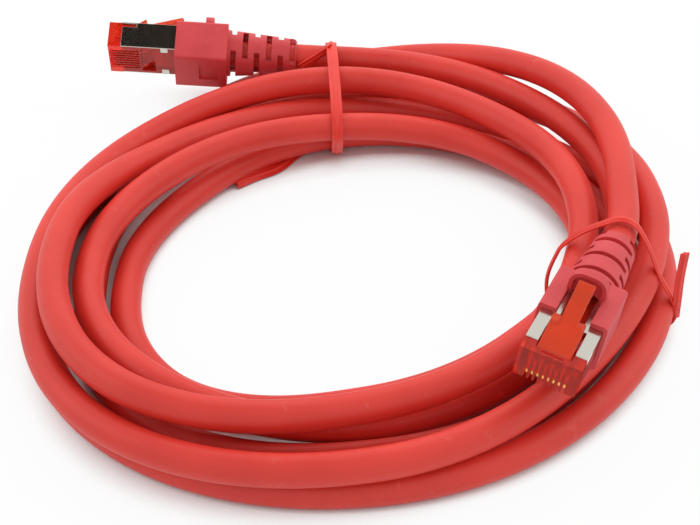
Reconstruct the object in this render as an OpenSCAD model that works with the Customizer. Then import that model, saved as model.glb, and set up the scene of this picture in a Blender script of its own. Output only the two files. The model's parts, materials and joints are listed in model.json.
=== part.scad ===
// Ethernet patch cable: a coiled round cord with a shielded eight-contact plug on each end,
// each in a moulded boot, held together by two ties.
// Origin: centre of the coil on the surface it lies on, +Z up, -Y towards the viewer.

/* [Cable] */
// Cable outside diameter (mm)
cable_dia = 6.2; // [5:0.1:8]
// Cable conductor with its insulation, diameter (mm)
wire_dia = 0.9; // [0.7:0.05:1.0]

/* [Plug] */
// Plug width across the shield (mm)
plug_width = 11.68; // [11:0.02:12]
// Plug length, nose to rear of the housing (mm)
plug_length = 21.5; // [20:0.1:24]
// Height of the plug above its contact side (mm)
plug_height = 6.4; // [6:0.1:8]
// Distance between neighbouring contacts (mm)
contact_pitch = 1.02; // [0.9:0.01:1.1]
// Thickness of a contact blade (mm)
contact_thick = 0.35; // [0.2:0.05:0.5]
// Thickness of the shield sheet (mm)
shield_thick = 0.3; // [0.2:0.05:0.5]
// Bare nose ahead of the shield (mm)
nose_bare = 3.0; // [2:0.1:4]

/* [Latch] */
// Width of the latch at its shoulders (mm)
latch_wide = 6.2; // [5.5:0.05:6.5]
// Width of the latch tab (mm)
latch_narrow = 3.25; // [2.5:0.05:4]
// Latch length from its root (mm)
latch_length = 15.4; // [12:0.1:19]
// Angle the latch stands up at rest (degrees)
latch_rise = 18; // [8:1:20]
// Latch thickness (mm)
latch_thick = 0.9; // [0.6:0.05:1.4]

/* [Boot] */
// Hood width (mm)
hood_width = 13.3; // [12.8:0.1:15]
// Hood length along the cable (mm)
hood_length = 12.2; // [10:0.1:16]
// Hood top above the cable axis (mm)
hood_top = 4.3; // [4:0.1:6]
// Hood bottom below the cable axis (mm)
hood_bottom = 6.0; // [5:0.1:8]
// Length of the slotted strain relief (mm)
relief_length = 16.4; // [12:0.1:22]
// Strain relief diameter at the hood (mm)
relief_front_dia = 11; // [10.5:0.1:13]
// Strain relief diameter at the cable end (mm)
relief_rear_dia = 8.4; // [8:0.1:10]
// Width of the latch cut-out in the hood (mm)
notch_width = 6.6; // [5:0.1:8]
// Length of the latch cut-out in the hood (mm)
notch_length = 6.6; // [5:0.1:9]
// Height of the arch over the latch above the hood (mm)
arch_high = 4.3; // [3.5:0.1:5]
// Plug length that shows ahead of the near hood (mm)
near_reach = 11.4; // [8:0.1:17]
// Plug length that shows ahead of the far hood (mm)
far_reach = 15.8; // [8:0.1:17]

/* [Ties] */
// Width of the strip of the far tie (mm)
far_tie_width = 2.4; // [1.5:0.1:4]
// Width of the strip of the near tie (mm)
near_tie_width = 1.5; // [1:0.1:3]
// Thickness of a tie strip (mm)
tie_thick = 0.6; // [0.4:0.05:1]

/* [Hidden] */
$fn = 32;
slop = 0.05;

// Plug, in its own frame: +X towards the nose, X = 0 where the cord leaves the boot, latch on +Z.
hood_rear = relief_length;
hood_front = hood_rear + hood_length;
shield_top = 3.2;
nose_top = 3.0;
plug_bottom = shield_top - plug_height - 0.2;
body_width = plug_width - 2 * shield_thick - 2 * slop;
body_top = shield_top - shield_thick - slop;
recess_floor = 2.1;
t_wide = latch_wide + 0.7;
t_narrow = 4.5;
t_step = 9.5;
tab_back = 14.1;
tab_long = 1.8;
tab_wide = 2.0;
side_step = 3.4;
side_step_high = 0.9;
latch_root = 1.9;
latch_axis = nose_top - 0.15;
barrel = 0.5;
shoulder_back = 7.0;
shoulder_high = 0.7;
shoulder_long = 2.2;

// Wires and contacts, placed back from the nose.
contacts = 8;
row_high = 0.95;
row_low = -0.15;
guide_front = 8.9;
guide_length = 3.5;
guide_width = 9.0;
guide_top = 1.55;
guide_bottom = -0.85;
chamber_half = 3.6;
chamber_low = -2.2;
blade_back = 6.9;
blade_front = 1.0;
blade_high = 1.5;
blade_lift = 0.35;
prong_long = 0.8;
anchor_front = 7.7;
anchor_back = 10.9;
anchor_half = 4.7;
anchor_deep = 1.3;
wedge_back = 0.8;
wedge_long = 2.6;
wedge_half = 4.0;
wedge_high = 1.4;
wedge_lean = 26;
slit_wide = 0.3;
slit_half = 2.1;
slit_deep = 0.4;
slot_deep = 2.0;
nose_bevel = 0.4;
jacket_gap = 0.5;
ferrule_length = 4.0;
braid_thick = 0.25;
ferrule_thick = 0.3;
slot_wide = contact_thick + 0.25;
bundle_pitch = 1.15;
wire_back = 2.2;
wire_rings = 5;
wire_sides = 8;

// Boot.
hood_round = 0.8;
hood_lip = 1.2;
bore_rear = cable_dia / 2 + 0.1;
bore_front = cable_dia / 2 + braid_thick + ferrule_thick + 0.5;
bore_step = 9.6;
relief_slot = 1.3;
slot_pitch = 5.6;
slot_first = 1.4;
slots = 3;
web = 2.2;
web_high = 3.5;
rear_round = 0.5;
arch_thick = 1.9;
arch_wall = 0.8;
arch_half = notch_width / 2 + 0.3;
arch_round = 2.6;
mark_long = 4.5;
mark_wide = 5.8;
mark_deep = 0.5;
mark_back = 10.2;

// Poses of the two plugs: where the cord leaves the boot, then heading, nose-up and roll.
near_at = [51, -23.2, 21.5];
near_turn = [-115, 2, -8];
far_at = [-13, 63.5, 11];
far_turn = [180, 4, 63];

// The lie of the coil: from straight behind, eight stations to a clockwise turn. Each row is one
// turn: the radius of the cord's centre at each station, then its height above the lowest lie.
lie_radius = [
    [68, 62.5, 57, 49, 48.5, 56.5, 51.5, 41.5],
    [39.5, 47, 50.5, 42, 41.5, 50, 45, 41.5],
    [45.5, 53.5, 58, 56.5, 55.5, 59.5, 52.5, 54],
    [61.5, 69.5, 64, 59, 64.5, 70, 62, 58],
    [57, 51.5, 48.5, 48.5, 51.5, 64.5, 57.5, 51],
    [54, 60.5, 65, 64, 64, 67, 63, 61],
    [74.5, 68, 56.5, 52, 50]
];
lie_height = [
    [8, 10.5, 11, 2.5, 1, 8.5, 7, 9],
    [8, 5, 3, 1, 0, 0.5, 0, 0.5],
    [1.5, 0.5, 2.5, 1, 0, 0, 0, 0.5],
    [1.5, 3.5, 10, 7.5, 7.5, 7.5, 7, 7],
    [9.5, 11, 13.5, 10.5, 9, 13, 12.5, 7],
    [3, 0.5, 2.5, 1.5, 0.5, 1, 0, 0.5],
    [1.5, 15, 19, 17, 16]
];
coil_at = [-1, -5];
before_radius = 70;
before_height = 6.5;
stations = 8;
start_bearing = 95.5;
flat = cable_dia / 10;
lowest = cable_dia / 2 - flat;
loop_rings = 24;
loop_sides = 6;
coil_first = 1;
coil_last = 150;
lead_sides = 12;
lead_rings = 8;

function flatten(rows) = [for (row = rows) for (v = row) v];
lie_r = concat([before_radius], flatten(lie_radius));
lie_z = concat([before_height], flatten(lie_height));

// Smooth curve through the stations.
function blend(p, t) =
    0.5 * (2 * p[1] + (p[2] - p[0]) * t + (2 * p[0] - 5 * p[1] + 4 * p[2] - p[3]) * t * t
    + (3 * p[1] - p[0] - 3 * p[2] + p[3]) * t * t * t);
function at_station(list, s) =
    let (k = floor(s + 0.000001), t = s - k)
    blend([list[k], list[k + 1], list[k + 2], list[k + 3]], t);
function coil_point(turns) =
    let (s = turns * stations, r = at_station(lie_r, s), a = start_bearing - 360 * turns)
    [coil_at[0] + r * cos(a), coil_at[1] + r * sin(a), lowest + at_station(lie_z, s)];
function unit(v) = v / norm(v);
function coil_way(turns) = unit(coil_point(turns + 0.002) - coil_point(turns - 0.002));

// Position and heading of a plug.
function about_x(p, a) = [p[0], p[1] * cos(a) - p[2] * sin(a), p[1] * sin(a) + p[2] * cos(a)];
function about_y(p, a) = [p[0] * cos(a) + p[2] * sin(a), p[1], p[2] * cos(a) - p[0] * sin(a)];
function about_z(p, a) = [p[0] * cos(a) - p[1] * sin(a), p[0] * sin(a) + p[1] * cos(a), p[2]];
function from_plug(p, at, turn) = at + about_z(about_y(about_x(p, turn[2]), -turn[1]), turn[0]);

// A lead: straight inside the boot, then an even curve to the coil's end.
function bend(a, da, b, db, t) =
    (2 * t * t * t - 3 * t * t + 1) * a + (t * t * t - 2 * t * t + t) * da
    + (3 * t * t - 2 * t * t * t) * b + (t * t * t - t * t) * db;
function lead_points(at, turn, inside, coil_turns, sign) =
    let (
        deep = from_plug([inside, 0, 0], at, turn),
        away = unit(at - deep),
        goal = coil_point(coil_turns),
        span = norm(goal - at),
        way = sign * coil_way(coil_turns)
    )
    concat([deep], [for (i = [0:lead_rings]) bend(at, away * span, goal, way * span, i / lead_rings)]);
function way_at(points, i) =
    i == 0 ? unit(points[1] - points[0])
    : i == len(points) - 1 ? unit(points[i] - points[i - 1])
    : unit(points[i + 1] - points[i - 1]);

// Rings of a tube, square to its way.
function ring(centre, way, across, high, sides) =
    let (side = unit(cross(way, [0, 0, 1])), up = cross(side, way))
    [for (i = [0:sides - 1])
        let (a = 360 * (i + 0.5) / sides)
        centre + side * across * cos(a) + up * high * sin(a)];
function tube_faces(rings, sides) = concat(
    [[for (i = [0:sides - 1]) i]],
    [[for (i = [sides - 1:-1:0]) (rings - 1) * sides + i]],
    [for (r = [0:rings - 2]) for (i = [0:sides - 1])
        [r * sides + i, (r + 1) * sides + i, r * sides + (i + 1) % sides]],
    [for (r = [0:rings - 2]) for (i = [0:sides - 1])
        [r * sides + (i + 1) % sides, (r + 1) * sides + i, (r + 1) * sides + (i + 1) % sides]]);
function loop_faces(rings, sides) = concat(
    [for (r = [0:rings - 1]) for (i = [0:sides - 1])
        [r * sides + i, ((r + 1) % rings) * sides + i, r * sides + (i + 1) % sides]],
    [for (r = [0:rings - 1]) for (i = [0:sides - 1])
        [r * sides + (i + 1) % sides, ((r + 1) % rings) * sides + i,
            ((r + 1) % rings) * sides + (i + 1) % sides]]);

coil_turns = [for (i = [coil_first:coil_last]) i / loop_rings];
coil_path = [for (t = coil_turns) coil_point(t)];
near_plug_rear = hood_front + near_reach - plug_length;
far_plug_rear = hood_front + far_reach - plug_length;
near_path = lead_points(near_at, near_turn, near_plug_rear - jacket_gap, coil_last / loop_rings, -1);
far_path = lead_points(far_at, far_turn, far_plug_rear - jacket_gap, coil_first / loop_rings, 1);

// Least gap of the coil to itself, between turns.
gaps = [for (i = [0:len(coil_path) - 1]) for (j = [i + 12:1:len(coil_path) - 1])
    norm(coil_path[i] - coil_path[j])];
echo(coil_gap = min(gaps) - cable_dia);
function path_length(p) = len(p) < 2 ? 0 : norm(p[1] - p[0]) + path_length([for (i = [1:len(p) - 1]) p[i]]);
echo(cord_length = path_length(coil_path) + path_length(near_path) + path_length(far_path));

module tube(points, ways, dia, sides) {
    // Rings pass through the cord's own surface, so the tube keeps its diameter.
    polyhedron(
        points = [for (i = [0:len(points) - 1])
            each ring(points[i], ways[i], dia / 2, dia / 2, sides)],
        faces = tube_faces(len(points), sides),
        convexity = 10);
}

module place(at, turn) {
    translate(at)
        rotate([0, 0, turn[0]])
            rotate([0, -turn[1], 0])
                rotate([turn[2], 0, 0])
                    children();
}

module box(x0, x1, half_width, z0, z1) {
    translate([x0, -half_width, z0])
        cube([x1 - x0, 2 * half_width, z1 - z0]);
}

// The section of the hood, seen along the cable, with rounded corners.
module hood_section(half, low, high, r) {
    union() {
        translate([low, -half + r])
            square([high - low, 2 * half - 2 * r]);
        translate([low + r, -half])
            square([high - low - 2 * r, 2 * half]);
        for (z = [low + r, high - r], y = [-half + r, half - r])
            translate([z, y])
                circle(r = r);
    }
}

module along_x(x0, x1) {
    // Draws a section whose X is up and whose Y is across.
    translate([x0, 0, 0])
        rotate([0, -90, 0])
            mirror([0, 0, 1])
                linear_extrude(x1 - x0)
                    children();
}

// Slots across the relief: one row above and below, the other at the sides, half a step on.
module relief_slots() {
    for (i = [0:slots - 1]) {
        x = hood_rear - slot_first - i * slot_pitch;
        side_x = x - slot_pitch / 2;
        box(x - relief_slot / 2, x + relief_slot / 2, relief_front_dia, web, relief_front_dia);
        box(x - relief_slot / 2, x + relief_slot / 2, relief_front_dia, -relief_front_dia, -web);
        for (y = [web, -relief_front_dia - web])
            translate([side_x - relief_slot / 2, y, -web_high])
                cube([relief_slot, relief_front_dia, 2 * web_high]);
    }
}

module boot_body() {
    notch_end = hood_front - notch_length;
    arch_rear = notch_end - arch_thick;
    arch_top = hood_top + arch_high;
    difference() {
        union() {
            // Tapered strain relief with a rounded cable end.
            rotate([0, 90, 0])
                rotate_extrude($fn = 48)
                    polygon([
                        [bore_rear, 0], [relief_rear_dia / 2 - rear_round, 0],
                        [relief_rear_dia / 2, rear_round],
                        [relief_front_dia / 2, hood_rear + slop], [bore_rear, hood_rear + slop]
                    ]);
            along_x(hood_rear, hood_front)
                hood_section(hood_width / 2, -hood_bottom, hood_top, hood_round);
            // Arch that guards the end of the latch.
            along_x(arch_rear, notch_end)
                hood_section(arch_half, hood_top - arch_round, arch_top, arch_round);
        }
        // Bore for the cord, wider over the crimp.
        translate([-1, 0, 0])
            rotate([0, 90, 0])
                cylinder(r = bore_rear, h = hood_front);
        translate([bore_step, 0, 0])
            rotate([0, 90, 0])
                cylinder(r = bore_front, h = hood_front - bore_step - hood_lip);
        // Pocket for the plug.
        box(hood_rear + hood_lip, hood_front + 1, plug_width / 2 + slop,
            plug_bottom - slop, shield_top + slop);
        // Cut-out for the latch, open to the front and on under the arch.
        box(notch_end, hood_front + 1, notch_width / 2, recess_floor, arch_top + 1);
        along_x(arch_rear + arch_wall, notch_end + slop)
            hood_section(arch_half - arch_wall, shield_top - arch_round, arch_top - arch_wall,
                arch_round - arch_wall);
        // Square recess on the contact side.
        translate([hood_front - mark_back, -mark_wide / 2, -hood_bottom - 1])
            cube([mark_long, mark_wide, 1 + mark_deep]);
        relief_slots();
    }
}

function wire_y(i) = (i - (contacts - 1) / 2) * contact_pitch;
function wire_z(i) = i % 2 == 0 ? row_high : row_low;

module wire_holes(x0, x1, nose, dia) {
    for (i = [0:contacts - 1])
        translate([nose - x1, wire_y(i), wire_z(i)])
            rotate([0, 90, 0])
                cylinder(d = dia, h = x1 - x0, $fn = 16);
}

module housing_body(nose) {
    rear = nose - plug_length;
    difference() {
        union() {
            box(nose - nose_bare, nose, plug_width / 2, plug_bottom, nose_top);
            box(rear, nose - nose_bare + slop, body_width / 2, plug_bottom, body_top);
        }
        // Bevel below the nose.
        translate([nose - nose_bevel, 0, plug_bottom - nose_bevel])
            rotate([0, 45, 0])
                box(0, 2, plug_width, -1, nose_bevel);
        // Seats of the two crimp tabs.
        for (s = [-1, 1])
            translate([nose - tab_back - 2 * slop, s * plug_width / 2 - tab_wide - 2 * slop, plug_bottom - 1])
                cube([tab_long + 4 * slop, 2 * tab_wide + 4 * slop, 1 + shield_thick + slop]);
        // Recess under the latch.
        box(nose - t_step, nose - latch_root, t_wide / 2, recess_floor, nose_top + 1);
        box(rear - 1, nose - t_step + slop, t_narrow / 2, recess_floor, nose_top + 1);
        // Seat of the latch root.
        translate([nose - latch_root, t_wide / 2, latch_axis])
            rotate([90, 0, 0])
                cylinder(r = barrel + slop, h = t_wide, $fn = 24);
        // Slit across the top of the nose.
        box(nose - blade_front, nose - blade_front + slit_wide, slit_half,
            nose_top - slit_deep, nose_top + 1);
        // Contact slots.
        for (i = [0:contacts - 1])
            translate([nose - blade_back - slit_wide, wire_y(i) - slot_wide / 2, plug_bottom - 1])
                cube([blade_back + slit_wide + 1, slot_wide, 1 + slot_deep]);
        for (i = [0:contacts - 1])
            translate([nose - blade_back - 2 * slop, wire_y(i) - contact_thick / 2 - slop, plug_bottom])
                cube([blade_back - blade_front - 4 * slop, contact_thick + 2 * slop,
                    wire_z(i) - plug_bottom]);
        // Channels for the wires, then the chamber for the guide.
        wire_holes(blade_front + blade_lift, guide_front + 1, nose, wire_dia + 2 * slop);
        box(rear - 1, nose - guide_front + 2 * slop, guide_width / 2 + 2 * slop,
            guide_bottom - 2 * slop, guide_top + 2 * slop);
        box(rear - 1, nose - guide_front - guide_length - 6 * slop, chamber_half, chamber_low,
            guide_top + 2 * slop);
        // Anchor recess on the contact side, with its wedge.
        difference() {
            box(nose - anchor_back, nose - anchor_front, anchor_half, plug_bottom - 1,
                plug_bottom + anchor_deep);
            translate([nose - anchor_back + wedge_back, 0, plug_bottom + anchor_deep + 2 * slop])
                rotate([0, wedge_lean, 0])
                    box(0, wedge_long, wedge_half, 0, wedge_high);
        }
    }
}

module contact_blades(nose) {
    for (i = [0:contacts - 1]) {
        y = wire_y(i) - contact_thick / 2;
        foot = plug_bottom + blade_lift;
        tip = wire_z(i) - wire_dia / 2 - slop / 2;
        translate([nose - blade_back, y, foot])
            cube([blade_back - blade_front, contact_thick, blade_high]);
        // Prongs that reach the wire.
        for (x = [blade_back - prong_long / 2, blade_front + 2 * prong_long])
            translate([nose - x, y, foot])
                cube([prong_long, contact_thick, tip - foot]);
    }
}

module shield_body(nose) {
    front = nose - nose_bare;
    rear = nose - plug_length;
    half = plug_width / 2;
    difference() {
        union() {
            box(rear, front, half, shield_top - shield_thick, shield_top);
            for (y = [-half, half - shield_thick])
                translate([rear, y, plug_bottom])
                    cube([front - rear, shield_thick, shield_top - plug_bottom]);
        }
        // T-shaped opening over the latch.
        box(nose - t_step, nose, t_wide / 2, shield_top - 1, shield_top + 1);
        box(rear - 1, nose, t_narrow / 2, shield_top - 1, shield_top + 1);
        // Stepped front corner of the two sides.
        for (s = [-1, 1])
            translate([front - side_step, s * half - 1, shield_top - shield_thick - side_step_high])
                cube([side_step + 1, 2, side_step_high]);
    }
    // Crimp tabs folded in from the sides.
    for (y = [-half, half - tab_wide])
        translate([nose - tab_back, y, plug_bottom])
            cube([tab_long, tab_wide, shield_thick]);
}

module guide_body(nose) {
    difference() {
        box(nose - guide_front - guide_length, nose - guide_front, guide_width / 2,
            guide_bottom, guide_top);
        wire_holes(guide_front - 1, guide_front + guide_length + 1, nose, wire_dia + 0.06);
    }
}

// A conductor: leaves the jacket among the others, spreads to its own place, then runs straight.
module wire(i, nose) {
    rear = nose - plug_length - jacket_gap;
    column = floor(i / 2) - 1.5;
    a = [rear + slop, column * bundle_pitch, (i % 2 == 0 ? 1 : -1) * bundle_pitch / 2];
    b = [nose - guide_front - guide_length - 1, wire_y(i), wire_z(i)];
    c = [nose - wire_back, wire_y(i), wire_z(i)];
    run = [b[0] - a[0], 0, 0];
    path = concat([for (k = [0:wire_rings]) bend(a, run, b, run, k / wire_rings)], [c]);
    tube(path, [for (p = path) [1, 0, 0]], wire_dia, wire_sides);
}

module braid_sleeve(rear) {
    translate([rear - jacket_gap - ferrule_length, 0, 0])
        rotate([0, 90, 0])
            difference() {
                cylinder(r = cable_dia / 2 + braid_thick, h = ferrule_length);
                translate([0, 0, -1])
                    cylinder(r = cable_dia / 2 + 0.02, h = ferrule_length + 2);
            }
}

module ferrule_ring(rear) {
    inner = cable_dia / 2 + braid_thick + 0.02;
    translate([rear - jacket_gap - ferrule_length + 0.3, 0, 0])
        rotate([0, 90, 0])
            rotate_extrude()
                polygon([
                    [inner, 0], [inner + 0.1, 0], [inner + ferrule_thick, 0.3],
                    [inner + ferrule_thick, ferrule_length - 0.6], [inner + 0.1, ferrule_length - 0.3],
                    [inner, ferrule_length - 0.3]
                ]);
}

module latch_body(nose) {
    back = -shoulder_back;
    translate([nose - latch_root, 0, latch_axis])
        rotate([0, latch_rise, 0])
            union() {
                rotate([90, 0, 0])
                    cylinder(r = barrel, h = latch_wide, center = true, $fn = 24);
                // Wide root, up to the shoulders.
                box(back, 0, latch_wide / 2, barrel - latch_thick, barrel);
                // Shoulders, one on each side of the tab, sloping down towards the nose.
                difference() {
                    box(back, back + shoulder_long, latch_wide / 2, 0, barrel + shoulder_high);
                    translate([back + shoulder_long, 0, barrel])
                        rotate([0, atan(shoulder_high / shoulder_long), 0])
                            box(-2 * shoulder_long, shoulder_long, latch_wide, 0, 2 * shoulder_high);
                    box(back - 1, 1, latch_narrow / 2, barrel, barrel + 2 * shoulder_high);
                }
                // Tab, rounded at its end.
                box(-latch_length, back + barrel, latch_narrow / 2, barrel - latch_thick, barrel);
                translate([-latch_length, 0, barrel - latch_thick / 2])
                    rotate([90, 0, 0])
                        cylinder(d = latch_thick, h = latch_narrow, center = true, $fn = 24);
            }
}

// A strip swept round the bundle: a closed loop of points with a flat section.
module strip_loop(points, across, high) {
    n = len(points);
    ways = [for (i = [0:n - 1]) unit(points[(i + 1) % n] - points[(i + n - 1) % n])];
    mid = [for (k = [0:2]) [for (p = points) p[k]] * [for (p = points) 1 / n]];
    polyhedron(
        points = [for (i = [0:n - 1])
            let (
                out = unit(points[i] - mid),
                side = unit(cross(ways[i], out)),
                up = cross(side, ways[i])
            )
            each [
                points[i] + side * across / 2 + up * high / 2,
                points[i] + side * across / 2 - up * high / 2,
                points[i] - side * across / 2 - up * high / 2,
                points[i] - side * across / 2 + up * high / 2
            ]],
        faces = loop_faces(n, 4),
        convexity = 6);
}

// Ties: the upright plane each lies in, by its bearing from the coil's centre, then the radius and
// height of the strip's middle.
far_tie_bearing = 93;
far_tie_lie = [
    [46, 0.4], [60, 0.4], [75, 0.5], [77.7, 2.1], [78.5, 4.6], [77.5, 7.2], [71, 13.5],
    [68.5, 14.5], [57, 15.6], [39.5, 14.4], [36.9, 13], [35.8, 10.5], [36.9, 7.6], [42.8, 1.2]
];
near_tie_bearing = -15;
near_tie_lie = [
    [47, 0.4], [56, 0.4], [65, 0.4], [67.3, 1.4], [68.3, 3.9], [67.8, 6.1], [64.2, 12.7],
    [59.2, 23], [57.8, 24.6], [55.4, 25.4], [52.6, 24.2], [44.8, 17.3], [43.5, 14.6], [42.2, 4.5],
    [43.4, 1.6]
];

module tie(bearing, lie, across) {
    strip_loop([for (p = lie) [coil_at[0] + p[0] * cos(bearing), coil_at[1] + p[0] * sin(bearing), p[1]]],
        across, tie_thick);
}

near_nose = hood_front + near_reach;
far_nose = hood_front + far_reach;
orange_wires = [0, 1];
green_wires = [2, 5];
blue_wires = [3, 4];
brown_wires = [6, 7];

module at_near() {
    place(near_at, near_turn)
        children();
}

module at_far() {
    place(far_at, far_turn)
        children();
}

module pair(wires, nose) {
    for (i = wires)
        wire(i, nose);
}

module cable_coil() {
    color("#d9433d")
        difference() {
            tube(coil_path, [for (t = coil_turns) coil_way(t)], cable_dia, loop_sides);
            translate([-100, -100, -10])
                cube([200, 200, 10]);
        }
}

module far_lead() {
    color("#d9433d")
        tube(far_path, [for (i = [0:len(far_path) - 1]) i == len(far_path) - 1
            ? coil_way(coil_first / loop_rings) : way_at(far_path, i)], cable_dia, lead_sides);
}

module near_lead() {
    color("#d9433d")
        tube(near_path, [for (i = [0:len(near_path) - 1]) i == len(near_path) - 1
            ? -coil_way(coil_last / loop_rings) : way_at(near_path, i)], cable_dia, lead_sides);
}

module far_tie() {
    color("#f0402f")
        tie(far_tie_bearing, far_tie_lie, far_tie_width);
}

module near_tie() {
    color("#f0402f")
        tie(near_tie_bearing, near_tie_lie, near_tie_width);
}

module far_housing() {
    color("#d02a20", 0.6)
        at_far()
            housing_body(far_nose);
}

module far_latch() {
    color("#d02a20", 0.6)
        at_far()
            latch_body(far_nose);
}

module far_contacts() {
    color("#d4a43c")
        at_far()
            contact_blades(far_nose);
}

module far_shield() {
    color("#cdd0c8")
        at_far()
            shield_body(far_nose);
}

module far_guide() {
    color("#e8e0d0")
        at_far()
            guide_body(far_nose);
}

module far_ferrule() {
    color("#b8bab4")
        at_far()
            ferrule_ring(far_plug_rear);
}

module far_braid() {
    color("#9a9c98")
        at_far()
            braid_sleeve(far_plug_rear);
}

module far_boot() {
    color("#d14b52")
        at_far()
            boot_body();
}

module far_orange_pair() {
    color("#e8842c")
        at_far()
            pair(orange_wires, far_nose);
}

module far_green_pair() {
    color("#2f9a4a")
        at_far()
            pair(green_wires, far_nose);
}

module far_blue_pair() {
    color("#2f5fb8")
        at_far()
            pair(blue_wires, far_nose);
}

module far_brown_pair() {
    color("#7a4a2a")
        at_far()
            pair(brown_wires, far_nose);
}

module near_housing() {
    color("#d02a20", 0.6)
        at_near()
            housing_body(near_nose);
}

module near_latch() {
    color("#d02a20", 0.6)
        at_near()
            latch_body(near_nose);
}

module near_contacts() {
    color("#d4a43c")
        at_near()
            contact_blades(near_nose);
}

module near_shield() {
    color("#cdd0c8")
        at_near()
            shield_body(near_nose);
}

module near_guide() {
    color("#e8e0d0")
        at_near()
            guide_body(near_nose);
}

module near_ferrule() {
    color("#b8bab4")
        at_near()
            ferrule_ring(near_plug_rear);
}

module near_braid() {
    color("#9a9c98")
        at_near()
            braid_sleeve(near_plug_rear);
}

module near_boot() {
    color("#d14b52")
        at_near()
            boot_body();
}

module near_orange_pair() {
    color("#e8842c")
        at_near()
            pair(orange_wires, near_nose);
}

module near_green_pair() {
    color("#2f9a4a")
        at_near()
            pair(green_wires, near_nose);
}

module near_blue_pair() {
    color("#2f5fb8")
        at_near()
            pair(blue_wires, near_nose);
}

module near_brown_pair() {
    color("#7a4a2a")
        at_near()
            pair(brown_wires, near_nose);
}

cable_coil();
far_lead();
near_lead();
far_tie();
near_tie();
far_housing();
far_latch();
far_contacts();
far_shield();
far_guide();
far_ferrule();
far_braid();
far_boot();
far_orange_pair();
far_green_pair();
far_blue_pair();
far_brown_pair();
near_housing();
near_latch();
near_contacts();
near_shield();
near_guide();
near_ferrule();
near_braid();
near_boot();
near_orange_pair();
near_green_pair();
near_blue_pair();
near_brown_pair();
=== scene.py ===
import json
import math

import bpy
from mathutils import Euler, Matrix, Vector

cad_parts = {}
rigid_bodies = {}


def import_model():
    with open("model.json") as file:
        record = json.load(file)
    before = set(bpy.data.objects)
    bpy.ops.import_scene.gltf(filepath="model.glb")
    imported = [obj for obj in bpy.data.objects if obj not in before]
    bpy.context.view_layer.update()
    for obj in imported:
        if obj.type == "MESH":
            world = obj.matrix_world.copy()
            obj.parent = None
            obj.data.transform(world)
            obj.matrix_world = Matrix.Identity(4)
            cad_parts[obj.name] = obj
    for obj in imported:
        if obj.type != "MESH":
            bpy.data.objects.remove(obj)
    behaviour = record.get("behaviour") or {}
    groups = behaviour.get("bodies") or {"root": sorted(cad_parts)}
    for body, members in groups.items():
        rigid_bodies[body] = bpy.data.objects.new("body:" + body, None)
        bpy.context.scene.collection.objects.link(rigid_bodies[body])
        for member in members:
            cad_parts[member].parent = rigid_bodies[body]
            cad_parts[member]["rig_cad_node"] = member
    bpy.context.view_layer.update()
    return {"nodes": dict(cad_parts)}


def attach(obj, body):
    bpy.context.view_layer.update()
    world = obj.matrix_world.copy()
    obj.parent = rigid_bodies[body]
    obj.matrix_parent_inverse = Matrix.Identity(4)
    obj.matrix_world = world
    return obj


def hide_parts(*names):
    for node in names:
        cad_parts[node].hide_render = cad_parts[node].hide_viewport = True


mm = 0.001

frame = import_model()
print("frame loaded")


# ---- helpers

def deselectAll():
    if bpy.context.object and bpy.context.object.mode != "OBJECT":
        bpy.ops.object.mode_set(mode="OBJECT")
    bpy.ops.object.select_all(action="DESELECT")


def makeActive(piece):
    deselectAll()
    piece.select_set(True)
    bpy.context.view_layer.objects.active = piece


def bakePlace(piece):
    # the place goes into the mesh, the object stays at the origin
    makeActive(piece)
    bpy.ops.object.transform_apply(location=True, rotation=True, scale=True)


def restOnSurface(piece):
    # a round that bears on the surface goes flat there
    for vertex in piece.data.vertices:
        vertex.co.z = max(vertex.co.z, 0)


def linear(hexCode):
    # sRGB hex to the linear values that shaders take
    values = []
    for i in (0, 2, 4):
        c = int(hexCode[i:i + 2], 16) / 255
        values.append(c / 12.92 if c <= 0.04045 else ((c + 0.055) / 1.055) ** 2.4)
    return (*values, 1.0)


# ---- camera

cameraFacts = {"tilt": 39, "distance": 330 * mm, "aimX": -0.12 * mm, "aimY": -1.23 * mm, "lens": 80}


def makeCamera(facts):
    tilt = math.radians(facts["tilt"])
    data = bpy.data.cameras.new("camera")
    data.lens = facts["lens"]
    data.sensor_width = 36
    data.clip_start = 0.01
    data.clip_end = 20
    camera = bpy.data.objects.new("camera", data)
    bpy.context.scene.collection.objects.link(camera)
    camera.location = (
        facts["aimX"],
        facts["aimY"] - math.cos(tilt) * facts["distance"],
        math.sin(tilt) * facts["distance"],
    )
    camera.rotation_euler = (math.pi / 2 - tilt, 0, 0)
    bpy.context.scene.camera = camera
    print("camera set")


makeCamera(cameraFacts)


# ---- cord: the free ends and the coil are one smooth tube

cordDiameter = 6.2
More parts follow.
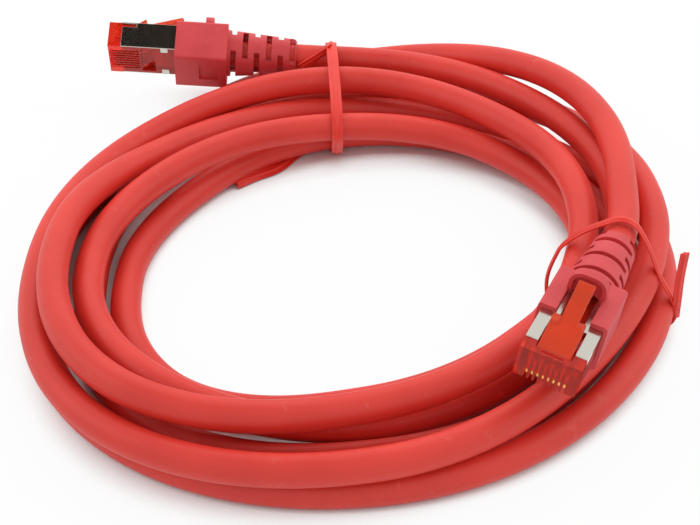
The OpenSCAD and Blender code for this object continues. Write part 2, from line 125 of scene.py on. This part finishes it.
# the round is pressed flat by this much where it bears on the surface
cordFlat = 0.62
cordFacts = {
    "diameter": cordDiameter,
    # points inside each boot and along each free end, then the step from point to point of the coil
    "bootSteps": 8,
    "leadSteps": 12,
    "step": 2.0,
    # from the jacket's end to the plug's rear
    "jacketGap": 0.5,
    "bearing": 95.5,
    "centre": (-1, -5),
    "meanRadius": 56,
    "lowest": cordDiameter / 2 - cordFlat,
    # the coil starts and ends at these turns, and has this many stations a turn
    "first": 1 / 24,
    "last": 6.25,
    "stations": 8,
    # the radius of the cord's middle at each station, then its height above the lowest lie: a fitted
    # table, rounded to half a millimetre and adjusted
    "radius": [
        70,
        68, 62.5, 57, 49, 48.5, 56.5, 51.5, 41.5,
        39.5, 47, 50.5, 42, 41.5, 50, 45, 41.5,
        45.5, 53.5, 58, 56.5, 55.5, 59.5, 52.5, 54,
        61.5, 69.5, 64, 59, 64.5, 70, 62, 58,
        57, 51.5, 48.5, 48.5, 51.5, 64.5, 57.5, 51,
        54, 60.5, 65, 64, 64, 67, 63, 61,
        74.5, 68, 56.5, 52, 50,
    ],
    "height": [
        6.5,
        8, 10.5, 11, 2.5, 1, 8.5, 7, 9,
        8, 5, 3, 1, 0, 0.5, 0, 0.5,
        1.5, 0.5, 2.5, 1, 0, 0, 0, 0.5,
        1.5, 3.5, 10, 7.5, 7.5, 7.5, 7, 7,
        9.5, 11, 13.5, 10.5, 9, 13, 12.5, 7,
        3, 0.5, 2.5, 1.5, 0.5, 1, 0, 0.5,
        1.5, 15, 19, 17, 16,
    ],
}
nearPlug = {"at": (51, -23.2, 21.5), "turn": (-115, 2, -8), "reach": 11.4}
farPlug = {"at": (-13, 63.5, 11), "turn": (180, 4, 63), "reach": 15.8}
hoodFront = 28.6
plugLength = 21.5


def plugMatrix(plug):
    yaw, pitch, roll = (math.radians(a) for a in plug["turn"])
    turns = [Euler(angles).to_matrix() for angles in ((0, 0, yaw), (0, -pitch, 0), (roll, 0, 0))]
    return turns[0] @ turns[1] @ turns[2]


def fromPlug(plug, point):
    return Vector(plug["at"]) + plugMatrix(plug) @ Vector(point)


def blendStations(p, t):
    return 0.5 * (
        2 * p[1] + (p[2] - p[0]) * t + (2 * p[0] - 5 * p[1] + 4 * p[2] - p[3]) * t * t
        + (3 * p[1] - p[0] - 3 * p[2] + p[3]) * t ** 3
    )


def coilPoint(facts, turns):
    s = turns * facts["stations"]
    k = int(math.floor(s + 1e-6))
    r = blendStations(facts["radius"][k:k + 4], s - k)
    z = blendStations(facts["height"][k:k + 4], s - k)
    a = math.radians(facts["bearing"] - 360 * turns)
    x, y = facts["centre"]
    return Vector((x + r * math.cos(a), y + r * math.sin(a), facts["lowest"] + z))


def coilWay(facts, turns):
    # the coil's direction there, from two points a little to each side
    aside = 0.002
    return (coilPoint(facts, turns + aside) - coilPoint(facts, turns - aside)).normalized()


def leadPoints(facts, plug, turns, sign):
    # straight inside the boot, then an even curve to the coil's end
    inside = fromPlug(plug, (hoodFront + plug["reach"] - plugLength - facts["jacketGap"], 0, 0))
    start = Vector(plug["at"])
    away = (start - inside).normalized()
    goal = coilPoint(facts, turns)
    span = (goal - start).length
    way = sign * coilWay(facts, turns)
    points = [inside.lerp(start, i / facts["bootSteps"]) for i in range(facts["bootSteps"])]
    count = facts["leadSteps"]
    for i in range(count):
        t = i / count
        points.append(
            (2 * t ** 3 - 3 * t ** 2 + 1) * start + (t ** 3 - 2 * t ** 2 + t) * away * span
            + (3 * t ** 2 - 2 * t ** 3) * goal + (t ** 3 - t ** 2) * way * span
        )
    return points


def cordRoute(facts):
    farSide = leadPoints(facts, farPlug, facts["first"], 1)
    nearSide = leadPoints(facts, nearPlug, facts["last"], -1)
    turns = facts["last"] - facts["first"]
    count = int(turns * 2 * math.pi * facts["meanRadius"] / facts["step"])
    coil = [coilPoint(facts, facts["first"] + turns * i / count) for i in range(count + 1)]
    return [p * mm for p in nearSide + list(reversed(coil)) + list(reversed(farSide))]


def makeCord(facts, route):
    data = bpy.data.curves.new("patchCord", "CURVE")
    data.dimensions = "3D"
    data.twist_mode = "MINIMUM"
    data.bevel_depth = facts["diameter"] / 2 * mm
    data.bevel_resolution = 5
    data.use_fill_caps = True
    spline = data.splines.new("POLY")
    spline.points.add(len(route) - 1)
    for point, place in zip(spline.points, route):
        point.co = (*place, 1)
    cord = bpy.data.objects.new("patchCord", data)
    bpy.context.scene.collection.objects.link(cord)
    makeActive(cord)
    bpy.ops.object.convert(target="MESH")
    cord = bpy.context.object
    restOnSurface(cord)
    bpy.ops.object.shade_smooth()
    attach(cord, "cable")
    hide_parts("cable_coil", "far_lead", "near_lead")
    print("cord made")
    return cord


route = cordRoute(cordFacts)
cord = makeCord(cordFacts, route)


# ---- ties: flat strips with a wire down the middle, closed round the bundle

farTieFacts = {
    "name": "farTie",
    "node": "far_tie",
    "bearing": 93,
    "width": 2.5,
    "thick": 0.3,
    "rib": 0.48,
    "lie": [
        (46, 0.5), (60, 0.5), (70, 0.5), (74.8, 0.8), (77.5, 2.2), (78.5, 4.6), (77.5, 7.2), (71, 13.5),
        (68.5, 14.5), (57, 15.6), (39.5, 14.4), (36.9, 13), (35.8, 10.5), (36.9, 7.6), (42.8, 1.2),
    ],
    # loose ends of the strip: its points, each x, y, z and how far the strip is turned about its run
    "tails": [
        {"twist": "Z_UP", "points": [
            (-4.4, 62.2, 14.7, -20), (-7, 60.6, 13.6, -20), (-9.4, 59.8, 12.2, -20), (-11.8, 59.6, 10.6, -20),
        ]},
        {"twist": "Z_UP", "points": [
            (-4, 42, 0.5, 90), (-11, 39.2, 0.5, 90), (-17.2, 31.8, 0.7, 70), (-21.4, 29, 0.9, 55),
            (-25.6, 25.4, 1.3, 30),
        ]},
    ],
}
nearTieFacts = {
    "name": "nearTie",
    "node": "near_tie",
    "bearing": -15,
    "width": 1.8,
    "thick": 0.3,
    "rib": 0.4,
    "lie": [
        (47, 0.5), (56, 0.5), (62.5, 0.5), (65.8, 0.8), (67.5, 1.8), (68.3, 3.9), (67.8, 6.1), (64.2, 12.7),
        (59.2, 23), (57.8, 24.6), (55.4, 25.4), (52.6, 24.2), (44.8, 17.3), (43.5, 14.6),
        (42.2, 4.5), (43.4, 1.6),
    ],
    "tails": [
        {"twist": "MINIMUM", "points": [
            (64.9, -22.7, 3.2, -30), (64.7, -22.9, 8, -30), (64.5, -23, 14, -30), (64.6, -23.1, 20, -30),
        ]},
    ],
}


# points this close are one, and shallower edges shade smooth
tieMesh = {"merge": 0.00001, "smooth": 50}


def stripProfile(facts):
    # the strip's section: thin edges, and the round of the wire along the middle of both faces
    half = facts["width"] / 2
    web = facts["thick"] / 2
    rib = facts["rib"]
    # a point on each flank of the round
    flankHigh = rib * 0.8
    flankWide = rib * 0.6
    side = [
        (web, -half), (web, -rib), (flankHigh, -flankWide), (rib, 0),
        (flankHigh, flankWide), (web, rib), (web, half),
    ]
    data = bpy.data.curves.new(facts["name"] + "Section", "CURVE")
    data.dimensions = "2D"
    spline = data.splines.new("POLY")
    points = side + [(-x, -y) for x, y in side]
    spline.points.add(len(points) - 1)
    for point, (x, y) in zip(spline.points, points):
        point.co = (x * mm, y * mm, 0, 1)
    spline.use_cyclic_u = True
    section = bpy.data.objects.new(facts["name"] + "Section", data)
    bpy.context.scene.collection.objects.link(section)
    return section


def makeTail(facts, tail, section):
    data = bpy.data.curves.new(facts["name"] + "Tail", "CURVE")
    data.dimensions = "3D"
    data.twist_mode = tail["twist"]
    data.bevel_mode = "OBJECT"
    data.bevel_object = section
    data.use_fill_caps = True
    data.resolution_u = 8
    spline = data.splines.new("BEZIER")
    spline.bezier_points.add(len(tail["points"]) - 1)
    for point, (x, y, z, turn) in zip(spline.bezier_points, tail["points"]):
        point.co = Vector((x, y, z)) * mm
        point.handle_left_type = point.handle_right_type = "AUTO"
        point.tilt = math.radians(turn)
    end = bpy.data.objects.new(facts["name"] + "Tail", data)
    bpy.context.scene.collection.objects.link(end)
    makeActive(end)
    bpy.ops.object.convert(target="MESH")
    return bpy.context.object


def makeTie(facts):
    section = stripProfile(facts)
    data = bpy.data.curves.new(facts["name"], "CURVE")
    data.dimensions = "2D"
    data.fill_mode = "NONE"
    data.bevel_mode = "OBJECT"
    data.bevel_object = section
    data.resolution_u = 8
    spline = data.splines.new("BEZIER")
    spline.bezier_points.add(len(facts["lie"]) - 1)
    for point, (r, z) in zip(spline.bezier_points, facts["lie"]):
        point.co = (r * mm, z * mm, 0)
        point.handle_left_type = point.handle_right_type = "AUTO"
    spline.use_cyclic_u = True
    tie = bpy.data.objects.new(facts["name"], data)
    bpy.context.scene.collection.objects.link(tie)
    tie.location = (cordFacts["centre"][0] * mm, cordFacts["centre"][1] * mm, 0)
    tie.rotation_euler = (math.pi / 2, 0, math.radians(facts["bearing"]))
    makeActive(tie)
    bpy.ops.object.convert(target="MESH")
    tie = bpy.context.object
    bakePlace(tie)
    tails = [makeTail(facts, tail, section) for tail in facts["tails"]]
    bpy.data.objects.remove(section)
    makeActive(tie)
    for tail in tails:
        tail.select_set(True)
    bpy.ops.object.join()
    bpy.ops.object.mode_set(mode="EDIT")
    bpy.ops.mesh.select_all(action="SELECT")
    bpy.ops.mesh.remove_doubles(threshold=tieMesh["merge"])
    bpy.ops.mesh.normals_make_consistent(inside=False)
    bpy.ops.object.mode_set(mode="OBJECT")
    restOnSurface(tie)
    bpy.ops.object.shade_smooth_by_angle(angle=math.radians(tieMesh["smooth"]))
    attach(tie, "cable")
    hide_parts(facts["node"])
    print(facts["name"], "made")
    return tie


farTie = makeTie(farTieFacts)
nearTie = makeTie(nearTieFacts)


# ---- moulded and folded parts: the same shapes with their edges rounded

edgeFacts = {
    "boot": {"body": "cable", "slot": "boot", "round": 0.4, "steps": 3, "from": 35},
    "shield": {"body": "cable", "slot": "shield_plate", "round": 0.1, "steps": 2, "from": 50},
    "housing": {"body": "cable", "slot": "plug_clear", "round": 0.08, "steps": 2, "from": 50},
    "latch": {"body": "{side}_latch_arm", "slot": "plug_clear", "round": 0.14, "steps": 2, "from": 35},
}


# points this close are one, faces this flat to each other are one, and shallower edges shade smooth
partMesh = {"merge": 0.000002, "flat": 1, "smooth": 38}


def roundEdges(side, part, facts):
    makeActive(frame["nodes"][side + "_" + part])
    bpy.ops.object.duplicate()
    piece = bpy.context.object
    piece.name = side + part.capitalize()
    del piece["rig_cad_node"]
    bpy.ops.object.mode_set(mode="EDIT")
    bpy.ops.mesh.select_all(action="SELECT")
    bpy.ops.mesh.remove_doubles(threshold=partMesh["merge"])
    bpy.ops.mesh.dissolve_limited(angle_limit=math.radians(partMesh["flat"]))
    bpy.ops.object.mode_set(mode="OBJECT")
    bpy.ops.object.modifier_add(type="BEVEL")
    bevel = piece.modifiers[-1]
    bevel.width = facts["round"] * mm
    bevel.segments = facts["steps"]
    bevel.limit_method = "ANGLE"
    bevel.angle_limit = math.radians(facts["from"])
    bevel.use_clamp_overlap = True
    bpy.ops.object.modifier_apply(modifier=bevel.name)
    bpy.ops.object.shade_smooth_by_angle(angle=math.radians(partMesh["smooth"]))
    # the flats keep their own normals, so only the rounds turn the light
    bpy.ops.object.modifier_add(type="WEIGHTED_NORMAL")
    bpy.ops.object.modifier_apply(modifier=piece.modifiers[-1].name)
    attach(piece, facts["body"].format(side=side))
    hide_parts(side + "_" + part)
    return piece


rounded = {
    (side, part): roundEdges(side, part, facts)
    for side in ("far", "near") for part, facts in edgeFacts.items()
}
print("edges rounded on", len(rounded), "parts")

plugParts = (
    "boot", "housing", "latch", "contacts", "shield", "guide", "ferrule", "braid",
    "orange_pair", "green_pair", "blue_pair", "brown_pair",
)
plugPieces = {
    (side, part): rounded.get((side, part), frame["nodes"][side + "_" + part])
    for side in ("far", "near") for part in plugParts
}


# ---- materials

def addNode(material, kind, settings=None, links=None):
    # settings: socket or property name to value; links: input socket to (node, output)
    node = material.node_tree.nodes.new(kind)
    for name, value in (settings or {}).items():
        if isinstance(name, int) or name in node.inputs:
            node.inputs[name].default_value = value
        else:
            setattr(node, name, value)
    for name, (source, output) in (links or {}).items():
        material.node_tree.links.new(source.outputs[output], node.inputs[name])
    return node


def newMaterial(name):
    material = bpy.data.materials.new(name)
    material.use_nodes = True
    material.node_tree.nodes.clear()
    return material


def closeMaterial(material, shader):
    addNode(material, "ShaderNodeOutputMaterial", links={"Surface": (shader, 0)})
    return material


# the pale rubs on soft plastic, and how far its sheen strays to smoother and to rougher
rubFacts = {"size": 2.5, "from": 0.62, "to": 0.74, "most": 0.15}
sheenSpread = (0.05, 0.07)


def softPlastic(name, facts):
    # soft plastic: an even colour that drifts a little, a faint grain that breaks the sheen
    material = newMaterial(name)
    place = addNode(material, "ShaderNodeTexCoord")
    drift = addNode(material, "ShaderNodeTexNoise", {"Scale": 1000 / facts["driftSize"], "Detail": 3.0},
                    {"Vector": (place, "Object")})
    tint = addNode(material, "ShaderNodeValToRGB", links={"Fac": (drift, "Fac")})
    tint.color_ramp.elements[0].position = 0.3
    tint.color_ramp.elements[0].color = linear(facts["dark"])
    tint.color_ramp.elements[1].position = 0.7
    tint.color_ramp.elements[1].color = linear(facts["light"])
    # small pale rubs, as plastic gets from handling
    spots = addNode(
        material, "ShaderNodeTexNoise",
        {"Scale": 1000 / rubFacts["size"], "Detail": 5.0, "Roughness": 0.6}, {"Vector": (place, "Object")},
    )
    rubs = addNode(
        material, "ShaderNodeMapRange",
        {"From Min": rubFacts["from"], "From Max": rubFacts["to"], "To Max": rubFacts["most"]},
        {"Value": (spots, "Fac")},
    )
    worn = addNode(material, "ShaderNodeMix", {"data_type": "RGBA", "blend_type": "MIX"},
                   {0: (rubs, "Result"), 6: (tint, "Color")})
    worn.inputs[7].default_value = linear(facts.get("worn", facts["light"]))
    grain = addNode(material, "ShaderNodeTexNoise", {"Scale": 1000 / facts["grainSize"], "Detail": 2.0},
                    {"Vector": (place, "Object")})
    bump = addNode(material, "ShaderNodeBump", {"Strength": facts["grain"], "Distance": 0.0001},
                   {"Height": (grain, "Fac")})
    sheen = addNode(
        material, "ShaderNodeMapRange",
        {"To Min": facts["rough"] - sheenSpread[0], "To Max": facts["rough"] + sheenSpread[1]},
        {"Value": (drift, "Fac")},
    )
    shader = addNode(material, "ShaderNodeBsdfPrincipled", {"IOR": 1.5},
                     {"Base Color": (worn, 2), "Roughness": (sheen, "Result"), "Normal": (bump, "Normal")})
    shader.inputs["Subsurface Weight"].default_value = facts.get("depth", 0)
    shader.inputs["Subsurface Radius"].default_value = (0.9 * mm, 0.25 * mm, 0.2 * mm)
    shader.inputs["Subsurface Scale"].default_value = 1.0
    return closeMaterial(material, shader)


def clearPlastic(name, facts):
    # clear polycarbonate, dyed in the mass: edges go dark, flats let light through
    material = newMaterial(name)
    place = addNode(material, "ShaderNodeTexCoord")
    flow = addNode(material, "ShaderNodeTexNoise", {"Scale": 1000 / facts["flowSize"], "Detail": 1.0},
                   {"Vector": (place, "Object")})
    bump = addNode(
        material, "ShaderNodeBump", {"Strength": facts["flow"], "Distance": 0.0001},
        {"Height": (flow, "Fac")},
    )
    shader = addNode(
        material, "ShaderNodeBsdfPrincipled",
        {
            "Base Color": linear(facts["colour"]), "Roughness": facts["rough"], "IOR": facts["bend"],
            "Transmission Weight": facts["clear"],
        },
        {"Normal": (bump, "Normal")},
    )
    return closeMaterial(material, shader)


# the roughness of a plated part runs between these shares of its finish's own
platingSpread = (0.7, 1.4)


def plating(name, facts):
    # plated metal: bright, with small uneven patches that spread the highlight
    smoothest, roughest = (facts["rough"] * share for share in platingSpread)
    material = newMaterial(name)
    place = addNode(material, "ShaderNodeTexCoord")
    patches = addNode(material, "ShaderNodeTexNoise", {"Scale": 1000 / facts["patchSize"], "Detail": 4.0},
                      {"Vector": (place, "Object")})
    rough = addNode(material, "ShaderNodeMapRange", {"To Min": smoothest, "To Max": roughest},
                    {"Value": (patches, "Fac")})
    bump = addNode(material, "ShaderNodeBump", {"Strength": facts["bump"], "Distance": 0.00005},
                   {"Height": (patches, "Fac")})
    shader = addNode(
        material, "ShaderNodeBsdfPrincipled", {"Base Color": linear(facts["colour"]), "Metallic": 1.0},
        {"Roughness": (rough, "Result"), "Normal": (bump, "Normal")},
    )
    return closeMaterial(material, shader)


# every size of a pattern is in millimetres
finishes = {
    "jacket": {
        "dark": "cf2d22", "light": "e03b2f", "worn": "ec8c84",
        "driftSize": 25, "grainSize": 0.35, "grain": 0.12, "rough": 0.48, "depth": 0.15,
    },
    "boot": {
        "dark": "c6373b", "light": "d64448", "worn": "e08086",
        "driftSize": 9, "grainSize": 0.25, "grain": 0.3, "rough": 0.5, "depth": 0.15,
    },
    "tie": {
        "dark": "dc2c1c", "light": "ea3828",
        "driftSize": 8, "grainSize": 0.4, "grain": 0.1, "rough": 0.42, "depth": 0.1,
    },
    "guide": {
        "dark": "d8cfbd", "light": "e8e0d0",
        "driftSize": 3, "grainSize": 0.2, "grain": 0.1, "rough": 0.45,
    },
    "clearBody": {
        "colour": "f8442c", "rough": 0.04, "flowSize": 4, "flow": 0.15, "clear": 0.68, "bend": 1.3,
    },
    # the latch is the same plastic as the body, with a painted lighter tint that stands in for the light
    # coming through its thin walls
    "clearLatchLitTint": {
        "colour": "ff6a48", "rough": 0.04, "flowSize": 4, "flow": 0.15, "clear": 0.62, "bend": 1.3,
    },
    "shield": {"colour": "cfcac0", "rough": 0.17, "patchSize": 0.8, "bump": 0.1},
    "contact": {"colour": "ffcf6e", "rough": 0.35, "patchSize": 0.3, "bump": 0.05},
    "ferrule": {"colour": "b4b6b0", "rough": 0.35, "patchSize": 0.5, "bump": 0.2},
}
wireFacts = {"driftSize": 4, "grainSize": 0.2, "grain": 0.05, "rough": 0.35}
# the dark and the light tone of each pair's insulation
wireColours = {
    "Orange": ("d8741f", "e8842c"),
    "Green": ("27863f", "2f9a4a"),
    "Blue": ("2852a2", "2f5fb8"),
    "Brown": ("6a3f22", "7a4a2a"),
}
jacket = softPlastic("halogenFreeSheath", finishes["jacket"])
bootPlastic = softPlastic("mouldedElastomer", finishes["boot"])
tiePlastic = softPlastic("tiePvc", finishes["tie"])
guidePlastic = softPlastic("naturalNylon", finishes["guide"])
clearBody = clearPlastic("clearPolycarbonate", finishes["clearBody"])
# the body's polycarbonate, painted lighter on the latch for the light through its thin walls
clearLatchLitTint = clearPlastic("clearPolycarbonateThinLit", finishes["clearLatchLitTint"])
nickel = plating("nickelPlate", finishes["shield"])
gold = plating("goldPlate", finishes["contact"])
tin = plating("tinPlate", finishes["ferrule"])
wires = {
    colour: softPlastic("polyethylene" + colour, {**wireFacts, "dark": dark, "light": light})
    for colour, (dark, light) in wireColours.items()
}


def paint(piece, material):
    piece.data.materials.clear()
    piece.data.materials.append(material)


plugMaterials = {
    "boot": bootPlastic, "housing": clearBody, "latch": clearLatchLitTint, "contacts": gold, "shield": nickel,
    "guide": guidePlastic, "ferrule": tin, "braid": tin, "orange_pair": wires["Orange"],
    "green_pair": wires["Green"], "blue_pair": wires["Blue"], "brown_pair": wires["Brown"],
}
paint(cord, jacket)
paint(farTie, tiePlastic)
paint(nearTie, tiePlastic)
for (side, part), piece in plugPieces.items():
    paint(piece, plugMaterials[part])
print("materials set")


# ---- floor, world and lamps

stageFacts = {
    "floor": "ececec",
    "floorSize": 6,
    # the floor is a little lower than the surface the cord rests on, so that they don't share a plane
    "floorDrop": 0.0002,
    "world": "ffffff",
    "worldLevel": 0.78,
    # how near a turn of the cord keeps the floor's own shadow, and how open the floor is where it starts
    # to whiten and where it is at its whitest
    "nook": 14 * mm,
    "openFrom": 0.25,
    "openTo": 0.6,
    "openWhite": 0.93,
}


def addSeen(owner):
    # 1 for what the camera sees, straight, mirrored or through clear plastic
    path = addNode(owner, "ShaderNodeLightPath")
    mirrored = addNode(owner, "ShaderNodeMath", {"operation": "MAXIMUM"},
                       {0: (path, "Is Glossy Ray"), 1: (path, "Is Transmission Ray")})
    return addNode(
        owner, "ShaderNodeMath", {"operation": "MAXIMUM"}, {0: (path, "Is Camera Ray"), 1: (mirrored, 0)},
    )


def makeFloor(facts):
    deselectAll()
    bpy.ops.mesh.primitive_plane_add(size=facts["floorSize"], location=(0, 0, -facts["floorDrop"]))
    floor = bpy.context.object
    floor.name = "floor"
    material = newMaterial("whitePaper")
    place = addNode(material, "ShaderNodeTexCoord")
    grain = addNode(material, "ShaderNodeTexNoise", {"Scale": 400.0}, {"Vector": (place, "Object")})
    bump = addNode(
        material, "ShaderNodeBump", {"Strength": 0.02, "Distance": 0.0001}, {"Height": (grain, "Fac")},
    )
    paper = addNode(
        material, "ShaderNodeBsdfPrincipled", {"Base Color": linear(facts["floor"]), "Roughness": 0.9},
        {"Normal": (bump, "Normal")},
    )
    white = addNode(material, "ShaderNodeEmission", {"Color": (1, 1, 1, 1), "Strength": 1.0})
    seen = addSeen(material)
    # white in the open, left to its own shadow in the nooks between the turns
    openness = addNode(material, "ShaderNodeAmbientOcclusion", {"samples": 8, "Distance": facts["nook"]})
    bare = addNode(
        material, "ShaderNodeMapRange",
        {"From Min": facts["openFrom"], "From Max": facts["openTo"], "To Max": facts["openWhite"]},
        {"Value": (openness, "AO")},
    )
    share = addNode(material, "ShaderNodeMath", {"operation": "MULTIPLY"}, {0: (seen, 0), 1: (bare, 0)})
    mix = addNode(material, "ShaderNodeMixShader", links={"Fac": (share, 0), 1: (paper, 0), 2: (white, 0)})
    closeMaterial(material, mix)
    floor.data.materials.append(material)


def makeWorld(facts):
    world = bpy.data.worlds.new("studio")
    bpy.context.scene.world = world
    world.use_nodes = True
    world.node_tree.nodes.clear()
    seen = addSeen(world)
    dim = addNode(
        world, "ShaderNodeBackground", {"Color": linear(facts["world"]), "Strength": facts["worldLevel"]},
    )
    white = addNode(world, "ShaderNodeBackground", {"Color": (1, 1, 1, 1), "Strength": 1.0})
    mix = addNode(world, "ShaderNodeMixShader", links={"Fac": (seen, 0), 1: (dim, 0), 2: (white, 0)})
    addNode(world, "ShaderNodeOutputWorld", links={"Surface": (mix, 0)})


def makeLamp(name, place, size, power, mirrored=True):
    data = bpy.data.lights.new(name, "AREA")
    data.shape = "RECTANGLE"
    data.size, data.size_y = size
    data.energy = power
    lamp = bpy.data.objects.new(name, data)
    bpy.context.scene.collection.objects.link(lamp)
    lamp.location = place
    lamp.rotation_euler = (-Vector(place)).to_track_quat("-Z", "Y").to_euler()
    lamp.visible_glossy = mirrored


def makeFlag(facts):
    # a dark card overhead that only mirrors see: it gives the polished plate its depth
    deselectAll()
    bpy.ops.mesh.primitive_plane_add(size=facts["size"], location=facts["place"])
    flag = bpy.context.object
    flag.name = "flag"
    material = newMaterial("blackCard")
    place = addNode(material, "ShaderNodeTexCoord")
    weave = addNode(material, "ShaderNodeTexNoise", {"Scale": 30.0}, {"Vector": (place, "Object")})
    tone = addNode(
        material, "ShaderNodeMapRange", {"To Min": 0.01, "To Max": 0.05}, {"Value": (weave, "Fac")},
    )
    card = addNode(
        material, "ShaderNodeEmission", {"Color": linear(facts["colour"])}, {"Strength": (tone, "Result")},
    )
    closeMaterial(material, card)
    flag.data.materials.append(material)
    flag.visible_camera = flag.visible_diffuse = flag.visible_transmission = flag.visible_shadow = False


makeFloor(stageFacts)
makeWorld(stageFacts)
makeFlag({"size": 0.5, "place": (-0.06, 0.13, 0.7), "colour": "c8a898"})
makeLamp("backSoftbox", (0.0, 0.65, 0.65), (1.1, 0.9), 4.5, mirrored=False)
makeLamp("leftSoftbox", (-0.7, 0.0, 0.5), (0.4, 0.5), 0.8)
makeLamp("rightSoftbox", (0.7, 0.1, 0.5), (0.4, 0.5), 0.8)
bpy.context.scene.view_settings.view_transform = "Standard"
print("stage set")
